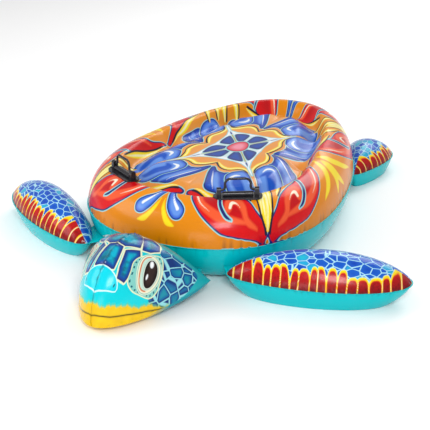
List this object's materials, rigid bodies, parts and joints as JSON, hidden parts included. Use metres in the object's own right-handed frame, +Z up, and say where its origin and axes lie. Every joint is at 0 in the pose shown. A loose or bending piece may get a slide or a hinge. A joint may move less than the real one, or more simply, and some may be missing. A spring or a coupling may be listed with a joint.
{
  "type": "inflatable pool float",
  "caption": "Ride-on inflatable sea turtle float with an oval printed shell, a soft head, flippers, folding grab loops and push-in air valves.",
  "frame": {"origin": "on the ground under the middle of the shell", "axes": "+Z up, the head points along -Y, the turtle's left side is +X"},
  "size_m": [1.7197, 1.9501, 0.3675],
  "materials": {
    "shell_print": "glossy printed vinyl sheet, orange ground",
    "teal_vinyl": "glossy vinyl sheet",
    "flipper_print": "glossy printed vinyl sheet, blue cells",
    "head_print": "glossy printed vinyl sheet, cyan scutes",
    "yellow_vinyl": "glossy vinyl sheet",
    "black_vinyl": "glossy moulded vinyl",
    "clear_vinyl": "clear vinyl sheet",
    "valve_vinyl": "milky soft moulded vinyl"
  },
  "bodies": {
    "shell": {"shell_ring_panel": "shell_print", "shell_seat_panel": "shell_print", "shell_base_panel": "teal_vinyl", "shell_belly_panel": "teal_vinyl", "ring_web_1": "clear_vinyl", "ring_web_2": "clear_vinyl", "ring_web_3": "clear_vinyl", "ring_web_4": "clear_vinyl", "ring_web_5": "clear_vinyl", "ring_web_6": "clear_vinyl", "ring_web_7": "clear_vinyl", "ring_web_8": "clear_vinyl", "cross_web_1": "clear_vinyl", "cross_web_2": "clear_vinyl", "cross_web_3": "clear_vinyl", "cross_web_4": "clear_vinyl", "neck_flange": "teal_vinyl", "front_left_flipper_flange": "teal_vinyl", "front_right_flipper_flange": "teal_vinyl", "rear_left_flipper_flange": "teal_vinyl", "rear_right_flipper_flange": "teal_vinyl", "left_handle_patch": "black_vinyl", "left_handle_grip": "black_vinyl", "left_handle_front_lug": "black_vinyl", "left_handle_rear_lug": "black_vinyl", "right_handle_patch": "black_vinyl", "right_handle_grip": "black_vinyl", "right_handle_front_lug": "black_vinyl", "right_handle_rear_lug": "black_vinyl", "shell_valve_body": "valve_vinyl"},
    "head": {"head_left_panel": "head_print", "head_right_panel": "head_print", "head_base_panel": "yellow_vinyl", "head_valve_body": "valve_vinyl"},
    "front_left_flipper": {"front_left_flipper_top": "flipper_print", "front_left_flipper_base": "teal_vinyl", "front_left_valve_body": "valve_vinyl"},
    "front_right_flipper": {"front_right_flipper_top": "flipper_print", "front_right_flipper_base": "teal_vinyl", "front_right_valve_body": "valve_vinyl"},
    "rear_left_flipper": {"rear_left_flipper_top": "flipper_print", "rear_left_flipper_base": "teal_vinyl", "rear_left_valve_body": "valve_vinyl"},
    "rear_right_flipper": {"rear_right_flipper_top": "flipper_print", "rear_right_flipper_base": "teal_vinyl", "rear_right_valve_body": "valve_vinyl"},
    "left_loop": {"left_handle_loop": "black_vinyl"},
    "right_loop": {"right_handle_loop": "black_vinyl"},
    "shell_plug": {"shell_valve_plug": "valve_vinyl"},
    "shell_flap": {"shell_valve_flap": "valve_vinyl"},
    "head_plug": {"head_valve_plug": "valve_vinyl"},
    "head_flap": {"head_valve_flap": "valve_vinyl"},
    "front_left_plug": {"front_left_valve_plug": "valve_vinyl"},
    "front_left_flap": {"front_left_valve_flap": "valve_vinyl"},
    "front_right_plug": {"front_right_valve_plug": "valve_vinyl"},
    "front_right_flap": {"front_right_valve_flap": "valve_vinyl"},
    "rear_left_plug": {"rear_left_valve_plug": "valve_vinyl"},
    "rear_left_flap": {"rear_left_valve_flap": "valve_vinyl"},
    "rear_right_plug": {"rear_right_valve_plug": "valve_vinyl"},
    "rear_right_flap": {"rear_right_valve_flap": "valve_vinyl"}
  },
  "joints": [
    {"name": "head_nod", "type": "hinge", "parent": "shell", "child": "head", "pos_m": [0, -0.742, 0.066], "axis": [-1, 0, 0], "range_deg": [-10, 20]},
    {"name": "front_left_flipper_lift", "type": "hinge", "parent": "shell", "child": "front_left_flipper", "pos_m": [0.38, -0.58, 0.078], "axis": [0.5736, -0.8192, 0], "range_deg": [-15, 25]},
    {"name": "front_right_flipper_lift", "type": "hinge", "parent": "shell", "child": "front_right_flipper", "pos_m": [-0.38, -0.58, 0.078], "axis": [0.5736, 0.8192, 0], "range_deg": [-15, 25]},
    {"name": "rear_left_flipper_lift", "type": "hinge", "parent": "shell", "child": "rear_left_flipper", "pos_m": [0.3, 0.48, 0.067], "axis": [0.9962, 0.0872, 0], "range_deg": [-15, 12]},
    {"name": "rear_right_flipper_lift", "type": "hinge", "parent": "shell", "child": "rear_right_flipper", "pos_m": [-0.3, 0.48, 0.067], "axis": [0.9962, -0.0872, 0], "range_deg": [-15, 12]},
    {"name": "left_loop_swing", "type": "hinge", "parent": "shell", "child": "left_loop", "pos_m": [0.237, -0.517, 0.321], "axis": [0.866, 0.5, 0], "range_deg": [-80, 80]},
    {"name": "right_loop_swing", "type": "hinge", "parent": "shell", "child": "right_loop", "pos_m": [-0.237, -0.517, 0.321], "axis": [0.866, -0.5, 0], "range_deg": [-80, 80]},
    {"name": "shell_plug_pull", "type": "slide", "parent": "shell", "child": "shell_plug", "axis": [0, 0.9703, -0.2419], "range_m": [0, 0.012]},
    {"name": "shell_flap_swing", "type": "hinge", "parent": "shell", "child": "shell_flap", "pos_m": [0, 0.72284, 0.11013], "axis": [-1, 0, 0], "range_deg": [0, 18], "stiffness_Nm_per_rad": 0.0005},
    {"name": "head_plug_pull", "type": "slide", "parent": "head", "child": "head_plug", "axis": [-0.3614, 0.5784, 0.7314], "range_m": [0, 0.012]},
    {"name": "head_flap_swing", "type": "hinge", "parent": "head", "child": "head_flap", "pos_m": [-0.14644, -0.77777, 0.15812], "axis": [0.3876, -0.6202, 0.682], "range_deg": [0, 18], "stiffness_Nm_per_rad": 0.0005},
    {"name": "front_left_plug_pull", "type": "slide", "parent": "front_left_flipper", "child": "front_left_plug", "axis": [-0.3319, 0.9118, -0.2419], "range_m": [0, 0.012]},
    {"name": "front_left_flap_swing", "type": "hinge", "parent": "front_left_flipper", "child": "front_left_flap", "pos_m": [0.57049, -0.47021, 0.05613], "axis": [-0.9397, -0.342, 0], "range_deg": [0, 18], "stiffness_Nm_per_rad": 0.0005},
    {"name": "front_right_plug_pull", "type": "slide", "parent": "front_right_flipper", "child": "front_right_plug", "axis": [0.5285, 0.8138, -0.2419], "range_m": [0, 0.012]},
    {"name": "front_right_flap_swing", "type": "hinge", "parent": "front_right_flipper", "child": "front_right_flap", "pos_m": [-0.52512, -0.42919, 0.05613], "axis": [-0.8387, 0.5446, 0], "range_deg": [0, 18], "stiffness_Nm_per_rad": 0.0005},
    {"name": "rear_left_plug_pull", "type": "slide", "parent": "rear_left_flipper", "child": "rear_left_plug", "axis": [-0.079, 0.9029, -0.4226], "range_m": [0, 0.012]},
    {"name": "rear_left_flap_swing", "type": "hinge", "parent": "rear_left_flipper", "child": "rear_left_flap", "pos_m": [0.34078, 0.80105, 0.03904], "axis": [-0.0368, 0.421, 0.9063], "range_deg": [0, 18], "stiffness_Nm_per_rad": 0.0005},
    {"name": "rear_right_plug_pull", "type": "slide", "parent": "rear_right_flipper", "child": "rear_right_plug", "axis": [0.079, 0.9029, -0.4226], "range_m": [0, 0.012]},
    {"name": "rear_right_flap_swing", "type": "hinge", "parent": "rear_right_flipper", "child": "rear_right_flap", "pos_m": [-0.34078, 0.80105, 0.03904], "axis": [-0.0368, -0.421, -0.9063], "range_deg": [0, 18], "stiffness_Nm_per_rad": 0.0005}
  ]
}
